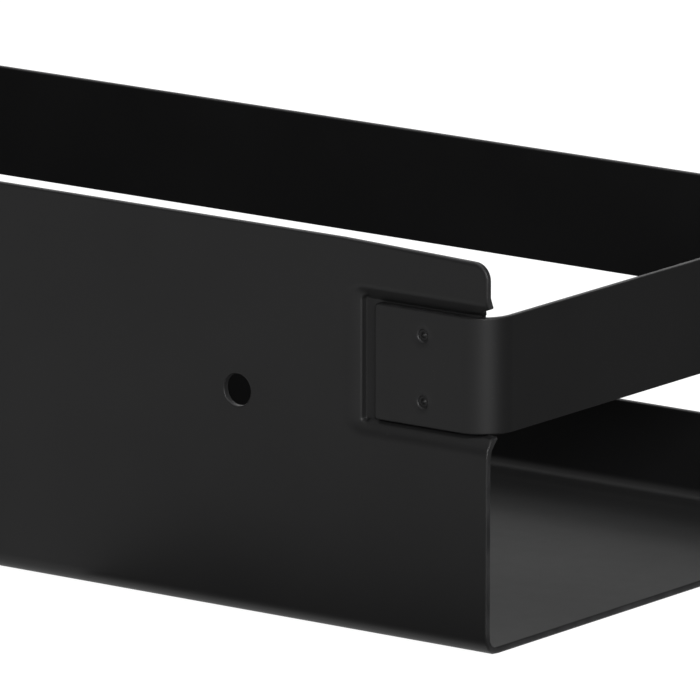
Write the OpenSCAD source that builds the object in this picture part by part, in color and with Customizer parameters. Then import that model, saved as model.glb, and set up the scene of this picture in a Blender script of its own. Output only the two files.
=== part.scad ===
// Cable tray: a folded steel channel with a tall mounting wall and a low back lip,
// closed above by a flat retaining band that is riveted to the tall wall at both ends.
// Origin: middle of the length and of the depth, on the underside of the floor.
// +X runs along the tray, the tall wall's outer face looks towards -Y, +Z is up.

/* [Tray] */
// length of the folded tray
tray_length = 600; // [300:10:1200]
// depth from the tall wall's outer face to the band's back face
overall_depth = 150; // [110:1:220]
// height of the tall wall
wall_height = 86; // [82:1:120]
// height of the low back lip
lip_height = 21; // [10:1:40]
// distance from the lip's outer face to the band's back face
lip_inset = 8; // [3:0.5:20]
// thickness of the tray's sheet
sheet = 1.5; // [1:0.1:2]
// outside radius of the two long folds
fold_radius = 4; // [3:0.5:6]
// drop of the tall wall's top edge at each end
edge_drop = 1; // [0.2:0.1:2]
// length over which that edge drops
edge_drop_length = 38; // [20:1:80]
// radius of the tall wall's top corners
corner_radius = 3.8; // [1:0.1:6]

/* [Band] */
// height of the strip
band_height = 25.3; // [20:0.1:30]
// height of the strip's lower edge above the tray's underside
band_bottom = 47.4; // [44:0.1:50]
// thickness of the strip
band_sheet = 1.5; // [1:0.1:2]
// outside radius of the strip's four corners
band_radius = 8; // [5:0.5:12]
// how far the strip stands out past the tray's open ends
band_proud = 0.3; // [0:0.1:1]
// distance from the tray's end to the far edge of a lug
lug_length = 30.3; // [24:0.1:40]

/* [Recess] */
// depth pressed in for the lug
recess_depth = 2.5; // [2:0.1:3]
// bare strip of recess floor beside the lug
recess_margin = 1.8; // [1:0.1:6]
// width of the soft shoulder beside the recess
shoulder_width = 5.5; // [4:0.1:8]
// height of the lower slope
lower_slope = 4.1; // [2:0.1:6]
// height of the upper slope
upper_slope = 2.8; // [1.5:0.1:4]
// gap between the strip's edges and the recess floor's edges
recess_gap = 0.1; // [0.1:0.1:1]

/* [Fixings] */
// diameter of the mounting holes
hole_diameter = 7; // [4:0.5:9]
// distance of a mounting hole from the tray's end
hole_inset = 66; // [50:1:120]
// height of the mounting holes
hole_height = 49; // [30:1:70]
// distance of the rivets from the tray's end
rivet_inset = 17.7; // [14:0.1:20]
// distance between the two rivets of one lug
rivet_spacing = 14.4; // [10:0.1:17]
// shank diameter of a rivet
rivet_diameter = 3; // [2.5:0.1:3.5]
// diameter of its sunk outer head
rivet_head = 3.9; // [3.6:0.1:5]
// diameter of its domed inner head
rivet_dome = 6; // [5:0.1:8]

/* [Hidden] */
$fn = 64;
e = 1;
x_end = tray_length / 2;
y_front = -overall_depth / 2;
y_back = overall_depth / 2;
y_lip = y_back - lip_inset;
fold_inner = fold_radius - sheet;
band_top = band_bottom + band_height;
band_mid = band_bottom + band_height / 2;
lug_y = y_front + recess_depth - band_sheet;
recess_x = x_end - lug_length - recess_margin;
floor_low = band_bottom - recess_gap;
floor_high = band_top + recess_gap;
shoulder_x = recess_x - shoulder_width;
knee_x = recess_x - 1.8;
knee_depth = 0.2 * recess_depth;
shoulder_angle = atan(knee_depth / (knee_x - shoulder_x));
knee_angle = atan((recess_depth - knee_depth) / (recess_x - knee_x));
lower_angle = atan(recess_depth / lower_slope);
upper_angle = atan(recess_depth / upper_slope);
window_x = x_end - band_radius - 0.8;
notch_x = x_end - 3.2;
notch_top = floor_high + upper_slope;
tab_low = floor_high + 2.3;
steel = [0.13, 0.13, 0.135];

// a point of a pressed profile moved through the sheet, between two slopes a and b
function through_sheet(p, a, b) =
    p + sheet / cos((b - a) / 2) * [-sin((a + b) / 2), cos((a + b) / 2)];

// quarter of a bent strip's corner, in the quadrant given by two signs
module bend(r_outer, r_inner, sx, sy) {
    intersection() {
        difference() {
            circle(r = r_outer);
            circle(r = r_inner);
        }
        translate([sx < 0 ? -2 * r_outer : 0, sy < 0 ? -2 * r_outer : 0])
            square(2 * r_outer);
    }
}

// a 2D box between two corners
module box2(low, high) {
    translate(low)
        square(high - low);
}

// a section drawn in Y and Z, run along X from one place to another
module along_x(from, to) {
    translate([from, 0, 0])
        rotate([90, 0, 90])
            linear_extrude(height = to - from)
                children();
}

// an outline drawn in X and Z, cut through the tall wall
module through_wall() {
    translate([0, y_front + recess_depth + sheet + e, 0])
        rotate([90, 0, 0])
            linear_extrude(height = recess_depth + sheet + 2 * e)
                children();
}

// the same feature at both ends
module both_ends() {
    children();
    mirror([1, 0, 0])
        children();
}

// ---- tray ----

module fold_section() {
    box2([y_front, fold_radius], [y_front + sheet, wall_height]);
    translate([y_front + fold_radius, fold_radius])
        bend(fold_radius, fold_inner, -1, -1);
    box2([y_front + fold_radius, 0], [y_lip - fold_radius, sheet]);
    translate([y_lip - fold_radius, fold_radius])
        bend(fold_radius, fold_inner, 1, -1);
    box2([y_lip - sheet, fold_radius], [y_lip, lip_height]);
}

// outer face of the recess: its section in X and Y crossed with its section in Y and Z
module recess_void() {
    intersection() {
        linear_extrude(height = wall_height)
            translate([0, y_front])
                polygon([
                    [shoulder_x, 0],
                    [knee_x, knee_depth],
                    [recess_x, recess_depth],
                    [x_end + e, recess_depth],
                    [x_end + e, -e],
                    [shoulder_x, -e]
                ]);
        along_x(shoulder_x - e, x_end + e)
            translate([y_front, 0])
                polygon([
                    [0, floor_low - lower_slope],
                    [recess_depth, floor_low],
                    [recess_depth, floor_high],
                    [0, notch_top],
                    [-e, notch_top],
                    [-e, floor_low - lower_slope]
                ]);
    }
}

// inner face of the recess: the same two sections, one sheet further in
module recess_back() {
    low_shift = sheet * tan(lower_angle / 2);
    high_shift = sheet * tan(upper_angle / 2);
    intersection() {
        linear_extrude(height = wall_height)
            translate([0, y_front])
                polygon([
                    through_sheet([shoulder_x, 0], 0, shoulder_angle),
                    through_sheet([knee_x, knee_depth], shoulder_angle, knee_angle),
                    through_sheet([recess_x, recess_depth], knee_angle, 0),
                    [x_end, recess_depth + sheet],
                    [x_end, sheet / 2],
                    [shoulder_x, sheet / 2]
                ]);
        along_x(shoulder_x - e, x_end)
            translate([y_front, 0])
                polygon([
                    [sheet, floor_low - lower_slope - low_shift],
                    [recess_depth + sheet, floor_low - low_shift],
                    [recess_depth + sheet, floor_high + high_shift],
                    [sheet, notch_top + high_shift],
                    [sheet / 2, notch_top + high_shift],
                    [sheet / 2, floor_low - lower_slope - low_shift]
                ]);
    }
}

// the cut that lets the band's corner pass, with its notch under the tab
module band_window() {
    through_wall()
        polygon([
            [window_x, floor_low],
            [x_end + e, floor_low],
            [x_end + e, tab_low + 0.9],
            [x_end, tab_low + 0.9],
            [x_end - 0.3, tab_low + 0.3],
            [x_end - 0.9, tab_low],
            [notch_x, tab_low - 0.9],
            [notch_x, floor_high],
            [window_x, floor_high]
        ]);
}

// sloping top edge and round corner of the tall wall's end
module top_edge_cut() {
    r = corner_radius;
    z_corner = wall_height - edge_drop;
    through_wall() {
        polygon([
            [x_end - edge_drop_length, wall_height],
            [x_end - r, z_corner],
            [x_end + e, z_corner],
            [x_end + e, wall_height + e],
            [x_end - edge_drop_length, wall_height + e]
        ]);
        difference() {
            box2([x_end - r, z_corner - r], [x_end + e, z_corner + e]);
            translate([x_end - r, z_corner - r])
                circle(r = r);
        }
    }
}

// a round hole along Y
module hole_y(x, z, d, from, to) {
    translate([x, from, z])
        rotate([-90, 0, 0])
            cylinder(d = d, h = to - from);
}

module tray_shell() {
    color(steel)
        difference() {
            union() {
                along_x(-x_end, x_end)
                    fold_section();
                both_ends()
                    recess_back();
            }
            both_ends() {
                recess_void();
                band_window();
                top_edge_cut();
                hole_y(x_end - hole_inset, hole_height, hole_diameter,
                       y_front - e, y_front + sheet + e);
                for (side = [-1, 1])
                    hole_y(x_end - rivet_inset, band_mid + side * rivet_spacing / 2,
                           rivet_diameter + 0.1, y_front, y_front + recess_depth + sheet + e);
            }
        }
}

// ---- band ----

module band_outline() {
    x_out = x_end + band_proud;
    r = band_radius;
    t = band_sheet;
    box2([x_end - lug_length, lug_y], [x_out - r, lug_y + t]);
    translate([x_out - r, lug_y + r])
        bend(r, r - t, 1, -1);
    box2([x_out - t, lug_y + r], [x_out, y_back - r]);
    translate([x_out - r, y_back - r])
        bend(r, r - t, 1, 1);
    box2([0, y_back - t], [x_out - r, y_back]);
}

module retaining_band() {
    color(steel)
        difference() {
            translate([0, 0, band_bottom])
                linear_extrude(height = band_height)
                    both_ends()
                        band_outline();
            both_ends()
                for (side = [-1, 1]) {
                    z = band_mid + side * rivet_spacing / 2;
                    hole_y(x_end - rivet_inset, z, rivet_diameter + 0.1,
                           lug_y - e, lug_y + band_sheet + e);
                    hole_y(x_end - rivet_inset, z, rivet_head + 0.1, lug_y - e, lug_y + 0.8);
                }
        }
}

// ---- rivets ----

// dished outer head with a raised centre, shank, and domed inner head
module rivet(x, z) {
    r = rivet_diameter / 2;
    grip = band_sheet + sheet;
    rise = 1.1;
    dome_radius = (pow(rivet_dome / 2, 2) + pow(rise, 2)) / (2 * rise);
    color(steel)
        translate([x, lug_y, z])
            rotate([-90, 0, 0]) {
                rotate_extrude()
                    polygon([
                        [0, 0.1],
                        [0.4, 0.15],
                        [0.75, 0.5],
                        [1.2, 0.5],
                        [rivet_head / 2 - 0.2, 0.05],
                        [rivet_head / 2, 0.05],
                        [rivet_head / 2, 0.8],
                        [r, 0.8],
                        [r, grip + 0.2],
                        [0, grip + 0.2]
                    ]);
                intersection() {
                    translate([0, 0, grip + rise - dome_radius])
                        sphere(r = dome_radius);
                    translate([0, 0, grip])
                        cylinder(d = rivet_dome + 1, h = rise + e);
                }
            }
}

rivet_x = x_end - rivet_inset;
rivet_high = band_mid + rivet_spacing / 2;
rivet_low = band_mid - rivet_spacing / 2;

tray_shell();
retaining_band();
rivet(rivet_x, rivet_high);  // rivet_right_upper
rivet(rivet_x, rivet_low);  // rivet_right_lower
rivet(-rivet_x, rivet_high);  // rivet_left_upper
rivet(-rivet_x, rivet_low);  // rivet_left_lower
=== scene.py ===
"""Looks of the cable tray: detailed sheet-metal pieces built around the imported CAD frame."""

import math

import bpy
import numpy as np
from mathutils import Matrix, Vector
from mathutils.geometry import delaunay_2d_cdt


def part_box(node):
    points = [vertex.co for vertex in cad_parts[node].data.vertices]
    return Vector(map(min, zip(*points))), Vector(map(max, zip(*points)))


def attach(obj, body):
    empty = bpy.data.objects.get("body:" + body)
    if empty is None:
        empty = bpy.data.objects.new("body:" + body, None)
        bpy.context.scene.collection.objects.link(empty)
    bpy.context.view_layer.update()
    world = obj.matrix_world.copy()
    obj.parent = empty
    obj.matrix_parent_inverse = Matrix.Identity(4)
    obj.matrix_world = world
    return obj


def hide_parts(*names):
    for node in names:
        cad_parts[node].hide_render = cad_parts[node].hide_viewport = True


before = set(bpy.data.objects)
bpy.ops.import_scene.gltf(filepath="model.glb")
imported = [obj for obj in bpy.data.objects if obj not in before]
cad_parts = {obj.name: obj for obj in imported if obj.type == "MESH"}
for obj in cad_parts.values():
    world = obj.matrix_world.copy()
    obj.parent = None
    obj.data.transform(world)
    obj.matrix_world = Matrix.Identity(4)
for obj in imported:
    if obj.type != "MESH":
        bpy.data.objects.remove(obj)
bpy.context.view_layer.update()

MM = 0.001
BODY = "root"

# ---------------------------------------------------------------- sizes, in millimetres

tray_low, tray_high = (np.array(v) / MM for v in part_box("tray_shell"))
band_low, band_high = (np.array(v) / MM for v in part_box("retaining_band"))
rivet_low, rivet_high = (np.array(v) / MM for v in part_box("rivet_right_lower"))
upper_low, upper_high = (np.array(v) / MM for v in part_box("rivet_right_upper"))

SHEET = 1.5                                  # tray sheet
STRIP = 1.5                                  # band strip
FOLD = 4.0                                   # outside radius of the long folds
BEND = 8.0                                   # outside radius of the band's corners
END = tray_high[0]                           # right end of the tray
FRONT = tray_low[1]                          # outer face of the tall wall
BACK = tray_high[1]                          # outer face of the low lip
TOP = tray_high[2]
LIP = 21.0                                   # height of the low lip
LUG_FACE = band_low[1]                       # outer face of the lugs
LUG_EDGE = END - 30.3                        # far edge of the right lug
DEPTH = LUG_FACE + STRIP - FRONT             # depth of the pressed recess
RIVET_X = (rivet_low[0] + rivet_high[0]) / 2
RIVET_Z = [(lo[2] + hi[2]) / 2 for lo, hi in ((rivet_low, rivet_high), (upper_low, upper_high))]
HOLE_X = END - 66.0
HOLE_Z = 49.0
HOLE_R = 3.5
DISH_R = 2.2                                 # mouth of the dish round a rivet
SHANK_R = 1.25                               # rivet inside the dish
ARC_STEP = 9                                 # degrees between points on an outline's rounds


# ---------------------------------------------------------------- outlines

def round_outline(corners, step=9.0):
    """Rounds the corners of a closed outline given as (x, y, radius, roll). Returns points, outward
    normals and the width of the rolled edge at each point."""
    n = len(corners)
    pts, normals, rolls = [], [], []
    arcs = []
    for i in range(n):
        a, b, c = (np.array(corners[(i + k) % n][:2], float) for k in (-1, 0, 1))
        radius, roll = corners[i][2:]
        d0, d1 = (b - a) / np.linalg.norm(b - a), (c - b) / np.linalg.norm(c - b)
        turn = math.atan2(d0[0] * d1[1] - d0[1] * d1[0], float(d0 @ d1))
        cut = radius * math.tan(abs(turn) / 2)
        start = b - d0 * cut
        side = 1.0 if turn > 0 else -1.0
        centre = start + side * radius * np.array([-d0[1], d0[0]])
        count = max(2, int(math.degrees(abs(turn)) / ARC_STEP) + 1)
        arc = []
        for k in range(count + 1):
            ang = turn * k / count
            rot = np.array([[math.cos(ang), -math.sin(ang)], [math.sin(ang), math.cos(ang)]])
            out = rot @ np.array([d0[1], -d0[0]])
            arc.append((centre + side * radius * out, out, roll))
        arcs.append(arc)
    for i in range(n):
        pts += [p for p, _, _ in arcs[i]]
        normals += [m for _, m, _ in arcs[i]]
        rolls += [w for _, _, w in arcs[i]]
        p0, m0, w0 = arcs[i][-1]
        p1, _, w1 = arcs[(i + 1) % n][0]
        gap = np.linalg.norm(p1 - p0)
        parts = max(1, int(math.ceil(gap / step)))
        for k in range(1, parts):
            t = k / parts
            pts.append(p0 + (p1 - p0) * t)
            normals.append(m0)
            rolls.append(w0 + (w1 - w0) * t)
    return np.array(pts), np.array(normals), np.array(rolls)


def round_hole(x, y, radius, roll, count=64):
    """A hole's rim, with normals that point out of the sheet, so towards the hole's centre."""
    a = -np.linspace(0, 2 * math.pi, count, endpoint=False)
    out = np.stack([np.cos(a), np.sin(a)], 1)
    return np.array([x, y]) + radius * out, -out, np.full(count, roll)


def inside(points, loop):
    """Even-odd test of many points against one closed loop."""
    x, y = points[:, 0][:, None], points[:, 1][:, None]
    x0, y0 = loop[:, 0], loop[:, 1]
    x1, y1 = np.roll(x0, -1), np.roll(y0, -1)
    rise = np.where(y1 == y0, 1e-12, y1 - y0)
    hit = ((y0 > y) != (y1 > y)) & (x < x0 + (y - y0) * (x1 - x0) / rise)
    return hit.sum(1) % 2 == 1


def clearance(points, loop):
    """Distance from many points to a closed loop."""
    a, b = loop, np.roll(loop, -1, 0)
    best = np.full(len(points), 1e9)
    for p, q in zip(a, b):
        d = q - p
        t = np.clip(((points - p) @ d) / max(float(d @ d), 1e-12), 0, 1)
        best = np.minimum(best, np.linalg.norm(points - (p + t[:, None] * d), axis=1))
    return best


def ladder(*stops):
    """Grid lines: (start, spacing), (next start, spacing), ..., (end,)."""
    out = []
    for (lo, gap), nxt in zip(stops[:-1], stops[1:]):
        n = max(1, int(round((nxt[0] - lo) / gap)))
        out += [lo + (nxt[0] - lo) * k / n for k in range(n)]
    return np.array(out + [stops[-1][0]])


# ---------------------------------------------------------------- sheet mesher

WIDEST_GAP = 2.0                             # spacing above which a grid keeps no further off a rim


def slopes(face, uv, h=0.02):
    du, dv = np.array([h, 0]), np.array([0, h])
    tu = face(uv + du) - face(uv - du)
    tv = face(uv + dv) - face(uv - dv)
    tu /= np.linalg.norm(tu, axis=1)[:, None]
    tv /= np.linalg.norm(tv, axis=1)[:, None]
    n = np.cross(tu, tv)
    return tu, tv, n / np.linalg.norm(n, axis=1)[:, None]


def in_sheet(points, rings):
    """Which points lie inside the first ring and outside the others."""
    ok = inside(points, rings[0])
    for ring in rings[1:]:
        ok &= ~inside(points, ring)
    return ok


def grid_points(grid_u, grid_v, rings, keep):
    """The grid's crossings that lie on the sheet and keep off its rims by a share of the spacing."""
    uu, vv = np.meshgrid(grid_u, grid_v)
    pts = np.stack([uu.ravel(), vv.ravel()], 1)
    gap_u = np.minimum(np.gradient(grid_u), WIDEST_GAP)
    gap_v = np.minimum(np.gradient(grid_v), WIDEST_GAP)
    gu, gv = np.meshgrid(gap_u, gap_v)
    room = keep * np.minimum(gu, gv).ravel() + 0.05
    ok = in_sheet(pts, rings)
    pts, room = pts[ok], room[ok]
    for ring in rings:
        clear = clearance(pts, ring) > room
        pts, room = pts[clear], room[clear]
    return pts


def triangulate(rings, fill):
    """Triangles between the rings and the points inside. Returns flat points, triangles, and the point
    numbers along each ring."""
    ring_at, ring_edges, count = [], [], 0
    for ring in rings:
        ring_at.append(np.arange(count, count + len(ring)))
        ring_edges += [(count + k, count + (k + 1) % len(ring)) for k in range(len(ring))]
        count += len(ring)
    flat = np.concatenate([*rings, fill])
    points, _, tris, sources, _, _ = delaunay_2d_cdt([Vector(p) for p in flat], ring_edges, [], 0, 1e-7)
    where = {j: k for k, source in enumerate(sources) for j in source}
    points = np.array([tuple(v) for v in points])
    middles = np.array([points[list(t)].mean(0) for t in tris])
    tris = np.array([t for t, ok in zip(tris, in_sheet(middles, rings)) if ok])
    return points, tris, [np.array([where[int(k)] for k in ids]) for ids in ring_at]


def rim_ring(loop, front, back, sign, at_front, t, front_drop, back_roll):
    """Points and normals of one ring of a rolled rim, at the angle t from a face towards the edge."""
    pts, out, roll = loop
    inset = (roll if at_front else np.minimum(back_roll, roll)) * (1 - math.sin(t))
    uv = pts - out * inset[:, None]
    tu, tv, normal_front = slopes(front, uv)
    outward = tu * out[:, :1] + tv * out[:, 1:]
    outward /= np.linalg.norm(outward, axis=1)[:, None]
    if at_front:
        w = front_drop * (1 - math.cos(t)) / SHEET
        lean = np.arctan2(math.sin(t) * np.full(len(pts), front_drop), math.cos(t) * roll)
        normals = np.cos(lean)[:, None] * sign * normal_front + np.sin(lean)[:, None] * outward
    else:
        w = 1 - back_roll * (1 - math.cos(t)) / SHEET
        _, _, normal_back = slopes(back, uv)
        normals = math.cos(t) * -sign * normal_back + math.sin(t) * outward
    return front(uv) * (1 - w) + back(uv) * w, normals / np.linalg.norm(normals, axis=1)[:, None]


def facing_normals(face, verts, normals):
    """The face's vertex numbers, turned round where needed so that it faces the way its normals do."""
    p = verts[face]
    across = np.cross(p[1] - p[0], p[2] - p[0]) + np.cross(p[2] - p[0], p[3] - p[0])
    return face[::-1] if across @ normals[face].sum(0) < 0 else face


def sheet_piece(name, loops, grid_u, grid_v, front, back, front_drop=0.45, back_roll=0.3, arc=6,
                keep=0.3):
    """A closed sheet with rolled edges. loops is the outer outline and then the holes, front and back map
    flat coordinates to the two faces, and the rim is swept round each loop from one face to the other."""
    rings = [pts - out * roll[:, None] for pts, out, roll in loops]
    flat, tris, ring_ids = triangulate(rings, grid_points(grid_u, grid_v, rings, keep))

    pos_f, pos_b = front(flat), back(flat)
    _, _, nf = slopes(front, flat)
    _, _, nb = slopes(back, flat)
    sign = -np.sign((nf * (pos_b - pos_f)).sum(1).mean())
    nf, nb = sign * nf, -sign * nb
    verts, normals, wear = [pos_f, pos_b], [nf, nb], [np.zeros(len(flat)), np.zeros(len(flat))]
    a, b, c = (pos_f[tris[:, k]] for k in range(3))
    facing = (np.cross(b - a, c - a) * nf[tris[:, 0]]).sum(1)
    tri_f = np.where((facing > 0)[:, None], tris, tris[:, ::-1])
    sides = [list(t) for t in tri_f] + [[int(k) + len(flat) for k in t[::-1]] for t in tri_f]

    rim, base = [], 2 * len(flat)
    angles = np.linspace(0, math.pi / 2, arc + 1)
    steps = [(True, t) for t in angles[1:]] + [(False, t) for t in angles[::-1][:-1]]
    for loop, ids in zip(loops, ring_ids):
        count = len(ids)
        rows = [ids]
        for at_front, t in steps:
            ring, ring_normals = rim_ring(loop, front, back, sign, at_front, t, front_drop, back_roll)
            verts.append(ring)
            normals.append(ring_normals)
            wear.append(np.full(count, math.sin(t)))
            rows.append(np.arange(base, base + count))
            base += count
        rows.append(ids + len(flat))
        for r0, r1 in zip(rows[:-1], rows[1:]):
            for k in range(count):
                k1 = (k + 1) % count
                rim.append([int(r0[k]), int(r1[k]), int(r1[k1]), int(r0[k1])])
    verts, normals, wear = np.concatenate(verts), np.concatenate(normals), np.concatenate(wear)
    faces = sides + [facing_normals(f, verts, normals) for f in rim]
    return mesh_object(name, verts, faces, normals, wear)


def mesh_object(name, verts, faces, normals, wear):
    """A smooth mesh from millimetres. wear goes to the point attribute that rubs the coat's edges."""
    mesh = bpy.data.meshes.new(name)
    mesh.from_pydata([tuple(v) for v in verts * MM], [], faces)
    mesh.validate(clean_customdata=False)
    attr = mesh.attributes.new("edge", "FLOAT", "POINT")
    attr.data.foreach_set("value", wear.astype(np.float32))
    for poly in mesh.polygons:
        poly.use_smooth = True
    if normals is not None:
        mesh.normals_split_custom_set_from_vertices([tuple(v) for v in normals])
    mesh.update()
    obj = bpy.data.objects.new(name, mesh)
    bpy.context.scene.collection.objects.link(obj)
    return obj


# ---------------------------------------------------------------- tray sheet

BEND_LENGTH = FOLD * math.pi / 2
S_FOLD1 = TOP - FOLD                         # flat coordinate where the first fold starts
S_FLOOR = S_FOLD1 + BEND_LENGTH
S_FOLD2 = S_FLOOR + (BACK - FRONT - 2 * FOLD)
S_LIP = S_FOLD2 + BEND_LENGTH
S_END = S_LIP + LIP - FOLD


def side_curve():
    """Depth of the recess against the distance from the tray's end, across its far side: a soft
    shoulder, a roll over into a steep side, a tight fillet, and a floor that eases down to full depth."""
    lean, steep, settle = (math.radians(a) for a in (25, 70, 14))
    wide, roll, fillet, last = 4.0, 0.9, 0.12, 0.16
    y = math.tan(lean) * wide / 2
    pts = [(wide * k / 8, y * (k / 8) ** 2) for k in range(9)]
    for k in range(1, 13):
        a = lean + (steep - lean) * k / 12
        pts.append((wide + roll * (math.sin(a) - math.sin(lean)), y + roll * (math.cos(lean) - math.cos(a))))
    x0, y0 = pts[-1]
    y = DEPTH - last - fillet * (math.cos(settle) - math.cos(steep))
    x0, y0 = x0 + (y - y0) / math.tan(steep), y
    pts.append((x0, y0))
    for k in range(1, 5):
        a = steep + (settle - steep) * k / 4
        pts.append((x0 + fillet * (math.sin(steep) - math.sin(a)),
                    y0 + fillet * (math.cos(a) - math.cos(steep))))
    x0, y0 = pts[-1]
    span = 2 * last / math.tan(settle)
    pts += [(x0 + span * k / 5, DEPTH - last * (1 - k / 5) ** 2) for k in range(1, 6)]
    return np.array(pts)


def rolled_step(t, roll, lean, fillet):
    """Depth of a step after a distance t: a convex roll, a straight slope and a fillet onto the floor."""
    run = (DEPTH - (roll + fillet) * (1 - math.cos(lean))) / math.sin(lean)
    a, b = roll * math.sin(lean), roll * math.sin(lean) + run * math.cos(lean)
    c = b + fillet * math.sin(lean)
    y = roll - np.sqrt(np.maximum(roll ** 2 - np.clip(t, 0, a) ** 2, 0))
    y = y + np.clip(t - a, 0, b - a) * math.tan(lean)
    near = np.clip(c - t, 0, c - b)
    floor = DEPTH - (fillet - np.sqrt(np.maximum(fillet ** 2 - near ** 2, 0)))
    return np.where(t > b, floor, y)


SIDE = side_curve()
SIDE_X, SIDE_W = -38.1, SIDE[-1, 0]          # start of the soft shoulder from the end, and its width
MID_Z = 60.0                                 # between the two slopes
UP_Z, UP_W = 76.9, 3.78                      # start and height of the upper slope
UP_ROLL, UP_LEAN, UP_FILLET = 2.0, math.radians(40), 0.2
LOW_Z, LOW_W, LOW_R = 43.08, 4.27, 4.9       # start, height and radius of the lower slope
CURL_X, CURL_R = 0.3 - BEND, BEND - STRIP    # the recess floor's end follows the inside of the band's bend
CURL_STOP = -3.0                             # where it stops deepening, from the tray's end
CURL_HIGH, CURL_LOW = 74.1, 46.9             # heights where it has eased out
CURL_GAP = 0.03                              # clearance behind the band


def ease(t):
    t = np.clip(t, 0, 1)
    return t * t * (3 - 2 * t)


def curl(u, z):
    """Extra depth behind the band's bend, eased out above and below the band and, low down, before the
    tray's end."""
    reach = np.clip(u - CURL_X, 0, CURL_STOP - CURL_X)
    fade = np.where(z < MID_Z, ease((-2.4 - u) / 0.8), 1.0)
    depth = CURL_R - np.sqrt(CURL_R ** 2 - reach ** 2) + CURL_GAP
    return depth * ease((CURL_HIGH - z) / 1.2) * ease((z - CURL_LOW) / 0.5) * fade


def recess(x, z, spread):
    """Depth of the recess with rounded corners between its side and its upper and lower slopes. spread
    widens it, for the inner face."""
    u = np.abs(x) - END
    high = z > MID_Z
    p = np.clip((u - SIDE_X + spread) / SIDE_W, 0, 1)
    q = np.clip(np.where(high, (UP_Z - z + spread) / UP_W, (z - LOW_Z + spread) / LOW_W), 0, 1)
    a, b = (1 - p) ** 2, (1 - q) ** 2
    m = np.maximum(1 - np.sqrt(a + b), 0)
    w = b / (a + b + 1e-9)
    side = np.interp(m * SIDE_W, SIDE[:, 0], SIDE[:, 1])
    upper = rolled_step(m * UP_W, UP_ROLL, UP_LEAN, UP_FILLET)
    low = LOW_R - np.sqrt(LOW_R ** 2 - (m * LOW_W) ** 2)
    slope = np.minimum(np.where(high, upper, low), DEPTH)
    return (1 - w) * side + w * slope + np.where(u > CURL_X, curl(u, z), 0)


def tray_face(inner):
    """Maps (distance along the tray, distance round the sheet from its top edge) to one of its faces."""
    spread = 0.6 if inner else 0.0
    shift = SHEET if inner else 0.0
    radius = FOLD - shift

    def face(uv):
        x, s = uv[:, 0], uv[:, 1]
        y, z = np.empty_like(x), np.empty_like(x)
        wall = s <= S_FOLD1
        z[wall] = TOP - s[wall]
        y[wall] = FRONT + shift + recess(x[wall], z[wall], spread)
        for start, y_mid, turn in ((S_FOLD1, FRONT + FOLD, 0), (S_FOLD2, BACK - FOLD, 1)):
            part = (s > start) & (s <= start + BEND_LENGTH)
            a = (s[part] - start) / FOLD
            c, q = np.cos(a), np.sin(a)
            y[part] = y_mid + radius * (q if turn else -c)
            z[part] = FOLD - radius * (c if turn else q)
        flat = (s > S_FLOOR) & (s <= S_FOLD2)
        y[flat] = FRONT + FOLD + s[flat] - S_FLOOR
        z[flat] = shift
        lip = s > S_LIP
        y[lip] = BACK - shift
        z[lip] = FOLD + s[lip] - S_LIP
        return np.stack([x, y, z], 1)

    return face


def build_tray():
    edge, end_roll, tight = 0.45, 1.0, 0.15  # widths of the rolled edge
    under = band_low[2] - 0.04
    # right half of the flat outline, from the drop of the top edge, down past the cut behind the band
    right = [
        (END - 38, 0, 40.0, edge),
        (END, 1.0, 3.8, end_roll),
        (END, TOP - 75.25, 0.9, 0.4),
        (END - 2.8, TOP - 74.15, 0.4, tight),
        (END - 4.0, TOP - 72.8, 0.4, tight),
        (END - 4.0, TOP - under, 0.4, tight),
        (END, TOP - under, 0.7, 0.5),
        (END, S_END, 1.2, edge),
    ]
    left = [(-x, y, r, w) for x, y, r, w in reversed(right)]
    outer = round_outline(right + left, step=2.0)
    holes = [round_hole(s * HOLE_X, TOP - HOLE_Z, HOLE_R, 0.35) for s in (1, -1)]
    holes += [round_hole(s * RIVET_X, TOP - z, SHANK_R + 0.05, 0.1, 32)
              for s in (1, -1) for z in RIVET_Z]
    # the grid is fine where the recess and the folds curve, and coarse elsewhere
    side = END + SIDE_X + SIDE[:, 0]
    half = np.concatenate([ladder((END - 80, 4.0), (END - 60, 2.0), (END + SIDE_X, 0.6))[:-1], side,
                           ladder((side[-1], 0.6), (END - 0.6,))[1:]])
    middle = ladder((-(END - 80), 10.0), (END - 80,))
    grid_u = np.concatenate([-half[::-1], middle[1:-1], half])
    grid_v = np.concatenate([
        ladder((0.6, 0.8), (8.2, 0.3), (13.6, 0.9), (37.6, 0.35), (43.4, 0.8), (50.0, 4.0), (S_FOLD1,)),
        ladder((S_FOLD1, BEND_LENGTH / 10), (S_FLOOR,))[1:],
        ladder((S_FLOOR, 9.0), (S_FOLD2,))[1:],
        ladder((S_FOLD2, BEND_LENGTH / 10), (S_LIP,))[1:],
        ladder((S_LIP, 4.0), (S_END - 0.6,))[1:],
    ])
    return sheet_piece("tray_sheet", [outer, *holes], grid_u, grid_v, tray_face(False), tray_face(True))


# ---------------------------------------------------------------- retaining band

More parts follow.
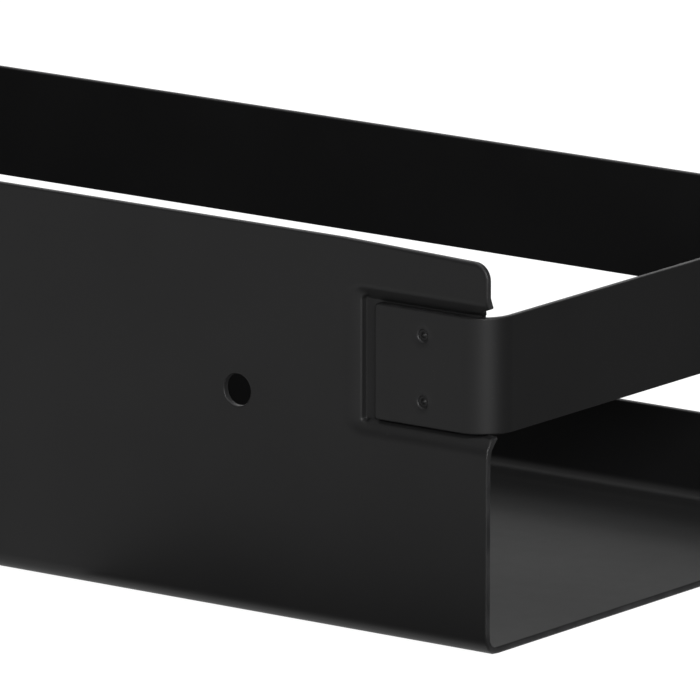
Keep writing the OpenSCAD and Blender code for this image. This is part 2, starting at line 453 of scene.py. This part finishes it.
def band_path():
    """The strip's outer line seen from above, from the right lug's far edge round to the left one's.
    Each part is (start, length, kind, first point or centre, direction in degrees). Returns the whole
    length too."""
    x_out, y_back = band_high[0], band_high[1]
    arc = BEND * math.pi / 2
    parts, p = [], 0.0

    def add(length, kind, *data):
        nonlocal p
        parts.append((p, length, kind, *data))
        p += length

    add(x_out - BEND - LUG_EDGE, "line", (LUG_EDGE, LUG_FACE), 0)
    add(arc, "arc", (x_out - BEND, LUG_FACE + BEND), 0)
    add(y_back - LUG_FACE - 2 * BEND, "line", (x_out, LUG_FACE + BEND), 90)
    add(arc, "arc", (x_out - BEND, y_back - BEND), 90)
    add(2 * (x_out - BEND), "line", (x_out - BEND, y_back), 180)
    add(arc, "arc", (BEND - x_out, y_back - BEND), 180)
    add(y_back - LUG_FACE - 2 * BEND, "line", (-x_out, y_back - BEND), 270)
    add(arc, "arc", (BEND - x_out, LUG_FACE + BEND), 270)
    add(x_out - BEND - LUG_EDGE, "line", (BEND - x_out, LUG_FACE), 0)
    return parts, p


PATH, PATH_END = band_path()
LUG_RIVET = RIVET_X - LUG_EDGE


def lug_relief(p, z):
    """Small dents of the lug's face: the die roll at its far edge and the pull-in round each rivet."""
    q = np.minimum(p, PATH_END - p)
    drop = 0.15 * np.clip(1 - q / 4.0, 0, 1) ** 2
    for zr in RIVET_Z:
        r = np.hypot(q - LUG_RIVET, z - zr)
        drop = drop + 0.05 * np.clip(1 - (r - DISH_R) / 0.8, 0, 1) ** 2
    return drop


def band_face(inner):
    """Maps (distance along the strip, height) to one of its faces."""

    def face(uv):
        p, z = uv[:, 0], uv[:, 1]
        xy = np.zeros((len(p), 2))
        depth = np.full(len(p), STRIP) if inner else lug_relief(p, z)
        for k, (start, length, kind, base, turn) in enumerate(PATH):
            lo = -1e9 if k == 0 else start
            hi = 1e9 if k == len(PATH) - 1 else start + length
            part = (p >= lo) & (p < hi)
            s = p[part] - start
            d = depth[part]
            a = math.radians(turn)
            if kind == "line":
                along = np.array([math.cos(a), math.sin(a)])
                into = np.array([-math.sin(a), math.cos(a)])
                xy[part] = np.array(base) + s[:, None] * along + d[:, None] * into
            else:
                ang = a - math.pi / 2 + s / BEND
                xy[part] = np.array(base) + (BEND - d)[:, None] * np.stack([np.cos(ang), np.sin(ang)], 1)
        return np.stack([xy[:, 0], xy[:, 1], z], 1)

    return face


def build_band():
    z0, z1 = band_low[2], band_high[2]
    corners = [(0, z0, 0.9, 0.4), (PATH_END, z0, 0.9, 0.4), (PATH_END, z1, 0.9, 0.4), (0, z1, 0.9, 0.4)]
    outer = round_outline(corners, step=2.0)
    holes = [round_hole(p, z, SHANK_R + 0.03, DISH_R - SHANK_R, 48)
             for p in (LUG_RIVET, PATH_END - LUG_RIVET) for z in RIVET_Z]
    lug = ladder((0.4, 0.4), (LUG_RIVET + 4, 1.5), (PATH[1][0],))
    cols = [lug]
    for start, length, kind, *_ in PATH[1:-1]:
        gap = length / 20 if kind == "arc" else 10.0
        cols.append(ladder((start, gap), (start + length,))[:-1])
    cols.append((PATH_END - lug)[::-1])
    grid_u = np.unique(np.round(np.concatenate(cols), 5))
    grid_v = ladder((z0 + 0.6, 0.6), (z0 + 2, 0.6), (z1 - 2, 0.6), (z1 - 0.6,))
    return sheet_piece("band_strip", [outer, *holes], grid_u, grid_v, band_face(False), band_face(True),
                       front_drop=0.45, back_roll=0.4)


# ---------------------------------------------------------------- rivets

def build_rivet(name, x, z):
    """A flush rivet turned about an axis along Y: a dished head with a raised centre outside, a shank,
    and a low dome inside."""
    bump, pit, rim, bump_r = 0.25, 0.72, 0.62, 0.85
    through = STRIP + SHEET
    profile = [(0.0, bump)]
    profile += [(bump_r * t, bump + (pit - bump) * float(ease(t))) for t in np.linspace(0, 1, 9)[1:]]
    profile += [(bump_r + (SHANK_R - bump_r) * t, pit - (pit - rim) * t * t) for t in (0.35, 0.7, 1.0)]
    profile += [(SHANK_R, 1.4), (SHANK_R, through)]
    rise, wide = 1.1, 3.0
    ball = (wide ** 2 + rise ** 2) / (2 * rise)
    top = math.asin(wide / ball)
    profile += [(wide, through)]
    profile += [(ball * math.sin(a), through + rise - ball + ball * math.cos(a))
                for a in np.linspace(top, 0, 9)[1:-1]]
    profile += [(0.0, through + rise)]
    n = 48
    verts, faces, rings = [], [], []
    for r, h in profile:
        if r < 1e-6:
            rings.append([len(verts)])
            verts.append((x, LUG_FACE + float(h), z))
        else:
            rings.append(list(range(len(verts), len(verts) + n)))
            verts += [(x + r * math.cos(2 * math.pi * k / n), LUG_FACE + float(h),
                       z + r * math.sin(2 * math.pi * k / n)) for k in range(n)]
    for a, b in zip(rings[:-1], rings[1:]):
        for k in range(n):
            k1 = (k + 1) % n
            if len(a) == 1:
                faces.append([a[0], b[k], b[k1]])
            elif len(b) == 1:
                faces.append([a[k], b[0], a[k1]])
            else:
                faces.append([a[k], b[k], b[k1], a[k1]])
    verts = np.array(verts, float)
    wear = np.zeros(len(verts))
    wear[:n + 1] = 0.4
    obj = mesh_object(name, verts, faces, None, wear)
    obj.data.set_sharp_from_angle(angle=math.radians(50))
    return obj


# ---------------------------------------------------------------- powder coat

def coat_material(name, seed):
    """Matt black powder coat: fine orange peel and grain in the relief, a little drift in roughness and
    tone, sparse lighter grains, and edges where the film is thin and rubbed."""
    mat = bpy.data.materials.new(name)
    mat.use_nodes = True
    nodes, links = mat.node_tree.nodes, mat.node_tree.links
    nodes.clear()
    out = nodes.new("ShaderNodeOutputMaterial")
    bsdf = nodes.new("ShaderNodeBsdfPrincipled")
    links.new(bsdf.outputs["BSDF"], out.inputs["Surface"])
    bsdf.inputs["Metallic"].default_value = 0.0
    bsdf.inputs["IOR"].default_value = 1.5
    bsdf.inputs["Specular IOR Level"].default_value = 0.2
    coord = nodes.new("ShaderNodeTexCoord")
    move = nodes.new("ShaderNodeMapping")
    move.inputs["Location"].default_value = (seed * 0.37, seed * 0.11, seed * 0.23)
    links.new(coord.outputs["Object"], move.inputs["Vector"])

    def noise(scale, detail, rough=0.5):
        node = nodes.new("ShaderNodeTexNoise")
        node.inputs["Scale"].default_value = scale
        node.inputs["Detail"].default_value = detail
        node.inputs["Roughness"].default_value = rough
        links.new(move.outputs["Vector"], node.inputs["Vector"])
        return node.outputs["Fac"]

    def spread(value, lo, hi, to_lo, to_hi):
        node = nodes.new("ShaderNodeMapRange")
        for key, v in (("From Min", lo), ("From Max", hi), ("To Min", to_lo), ("To Max", to_hi)):
            node.inputs[key].default_value = v
        links.new(value, node.inputs["Value"])
        return node.outputs["Result"]

    def math_node(op, a, b):
        node = nodes.new("ShaderNodeMath")
        node.operation = op
        for k, v in enumerate((a, b)):
            if isinstance(v, (int, float)):
                node.inputs[k].default_value = v
            else:
                links.new(v, node.inputs[k])
        return node.outputs["Value"]

    peel = noise(3600.0, 2.0)
    grain = noise(9000.0, 2.0, 0.6)
    drift = noise(28.0, 2.0)
    cloud = noise(240.0, 3.0)
    edge = nodes.new("ShaderNodeAttribute")
    edge.attribute_name = "edge"
    rubbed = math_node("MULTIPLY", spread(edge.outputs["Fac"], 0.55, 1.0, 0.0, 1.0),
                       spread(cloud, 0.35, 0.7, 0.3, 1.0))

    tone = nodes.new("ShaderNodeMix")
    tone.data_type = "RGBA"
    tone.inputs["A"].default_value = (0.0022, 0.0022, 0.0023, 1)
    tone.inputs["B"].default_value = (0.0032, 0.0032, 0.0033, 1)
    links.new(spread(drift, 0.3, 0.7, 0.0, 1.0), tone.inputs["Factor"])
    specks = spread(noise(2600.0, 1.0), 0.76, 0.84, 0.0, 0.6)
    light = nodes.new("ShaderNodeMix")
    light.data_type = "RGBA"
    light.inputs["B"].default_value = (0.06, 0.06, 0.062, 1)
    links.new(tone.outputs["Result"], light.inputs["A"])
    links.new(math_node("MAXIMUM", specks, math_node("MULTIPLY", rubbed, 0.22)),
              light.inputs["Factor"])
    links.new(light.outputs["Result"], bsdf.inputs["Base Color"])

    rough = math_node("ADD", spread(cloud, 0.3, 0.7, 0.492, 0.508),
                      math_node("MULTIPLY", rubbed, -0.07))
    links.new(rough, bsdf.inputs["Roughness"])

    height = math_node("ADD", math_node("MULTIPLY", peel, 0.7), math_node("MULTIPLY", grain, 0.3))
    bump = nodes.new("ShaderNodeBump")
    bump.inputs["Strength"].default_value = 0.12
    bump.inputs["Distance"].default_value = 0.00006
    links.new(height, bump.inputs["Height"])
    links.new(bump.outputs["Normal"], bsdf.inputs["Normal"])
    return mat


# ---------------------------------------------------------------- pieces

def place(obj, node, material):
    obj.data.materials.append(material)
    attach(obj, BODY)
    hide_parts(node)


tray_coat = coat_material("tray_coat_black", 1)
band_coat = coat_material("band_coat_black", 2)
rivet_coat = coat_material("rivet_coat_black", 3)
place(build_tray(), "tray_shell", tray_coat)
place(build_band(), "retaining_band", band_coat)
for word, sign in (("right", 1), ("left", -1)):
    for level, z in zip(("lower", "upper"), RIVET_Z):
        node = f"rivet_{word}_{level}"
        place(build_rivet(node + "_head", sign * RIVET_X, z), node, rivet_coat)

# ---------------------------------------------------------------- stage, light and camera

MIDDLE = (0.25, 0.0, 0.05)                   # what the lamps aim at, in metres, as all that follows
LAMP_DISTANCE = 2.2


def plain_material(name, color, rough, glow=0.0):
    mat = bpy.data.materials.new(name)
    mat.use_nodes = True
    bsdf = mat.node_tree.nodes["Principled BSDF"]
    bsdf.inputs["Base Color"].default_value = (*color, 1)
    bsdf.inputs["Roughness"].default_value = rough
    bsdf.inputs["Specular IOR Level"].default_value = 0.1
    bsdf.inputs["Emission Color"].default_value = (1, 1, 1, 1)
    bsdf.inputs["Emission Strength"].default_value = glow
    return mat


def build_floor():
    """A pale floor, lit from within so that it reads white, just under the object."""
    half = 30.0
    corners = [(-half, -half, 0), (half, -half, 0), (half, half, 0), (-half, half, 0)]
    mesh = bpy.data.meshes.new("floor")
    mesh.from_pydata(corners, [], [(0, 1, 2, 3)])
    obj = bpy.data.objects.new("floor", mesh)
    obj.location.z = -0.0004
    bpy.context.scene.collection.objects.link(obj)
    mesh.materials.append(plain_material("floor_pale", (0.12, 0.12, 0.12), 0.8, 0.97))


def soft_light(name, where, aim, size, power):
    data = bpy.data.lights.new(name, "AREA")
    data.shape = "RECTANGLE"
    data.size, data.size_y = size
    data.energy = power
    obj = bpy.data.objects.new(name, data)
    obj.location = where
    obj.rotation_mode = "QUATERNION"
    obj.rotation_quaternion = (Vector(aim) - Vector(where)).to_track_quat("-Z", "Y")
    bpy.context.scene.collection.objects.link(obj)


def around(azimuth, elevation):
    """A lamp's place round the object: azimuth 0 is in front of the tall wall, positive towards +X."""
    a, e = math.radians(azimuth), math.radians(elevation)
    towards = Vector((math.sin(a) * math.cos(e), -math.cos(a) * math.cos(e), math.sin(e)))
    return Vector(MIDDLE) + LAMP_DISTANCE * towards


def build_card():
    """A dark folded card beside the open end, and a strip of it in front of the recess. It glows faintly as
    a dim panel of light and shows only in reflections."""
    x0, x1, near, far = END * MM + 0.0006, END * MM + 0.12, -0.13, 0.7
    high, low = 0.35, 0.0002
    left, strip, front = x0 - 0.11, FRONT * MM - 0.04, FRONT * MM - 0.001
    corners = [(x1, near, low), (x1, far, low), (x1, far, high), (x1, near, high),
               (x0, near, low), (x0, far, low),
               (left, strip, low), (x0, strip, low), (x0, front, low), (left, front, low)]
    mesh = bpy.data.meshes.new("dark_card")
    mesh.from_pydata(corners, [], [(0, 1, 2, 3), (4, 5, 1, 0), (6, 7, 8, 9)])
    # dark base with a faint glow of 0.22, which stands in for dim surroundings in the reflections
    mesh.materials.append(plain_material("card_dark_faint_glow", (0.02, 0.02, 0.02), 0.9, 0.22))
    obj = bpy.data.objects.new("dark_card", mesh)
    bpy.context.scene.collection.objects.link(obj)
    obj.visible_camera = False
    obj.visible_shadow = False


build_floor()
build_card()
world = bpy.data.worlds.new("studio")
bpy.context.scene.world = world
world.use_nodes = True
world.node_tree.nodes["Background"].inputs["Color"].default_value = (1, 1, 1, 1)
world.node_tree.nodes["Background"].inputs["Strength"].default_value = 0.01
soft_light("key", around(48, 22), MIDDLE, (0.35, 0.5), 60)
soft_light("front", around(0, 8), MIDDLE, (0.9, 0.5), 1.2)
soft_light("front_left", around(-35, 36), MIDDLE, (0.9, 0.6), 5)
soft_light("side", around(58, 10), MIDDLE, (0.5, 0.5), 11)
soft_light("top", (0.1, 0.1, 1.9), (0.1, 0.1, 0), (2.2, 1.6), 43)
soft_light("back_low", around(216, 14), MIDDLE, (1.6, 0.8), 4.2)
soft_light("back_high", around(216, 30), MIDDLE, (1.6, 0.8), 3.3)

YAW, PITCH, ROLL = (math.radians(a) for a in (36.6, 12.784, 0.094))
DISTANCE = 3.0588                            # from the camera to what it aims at
ahead = Vector((-math.sin(YAW) * math.cos(PITCH), math.cos(YAW) * math.cos(PITCH), -math.sin(PITCH)))
level = Vector((math.cos(YAW), math.sin(YAW), 0))
upright = level.cross(ahead)
right = level * math.cos(ROLL) + upright * math.sin(ROLL)
up = upright * math.cos(ROLL) - level * math.sin(ROLL)
aim = Vector((END * MM, 0.0, 0.050)) - 0.0736 * right + 0.0031 * up
cam_data = bpy.data.cameras.new("photo_camera")
cam_data.sensor_width = 36.0
cam_data.lens = 732.0
cam_data.clip_end = 100.0
camera = bpy.data.objects.new("photo_camera", cam_data)
camera.rotation_mode = "QUATERNION"
camera.location = aim - DISTANCE * ahead
camera.rotation_quaternion = Matrix((right, up, -ahead)).transposed().to_quaternion()
bpy.context.scene.collection.objects.link(camera)
bpy.context.scene.camera = camera
bpy.context.scene.view_settings.view_transform = "Standard"
bpy.context.scene.view_settings.look = "None"
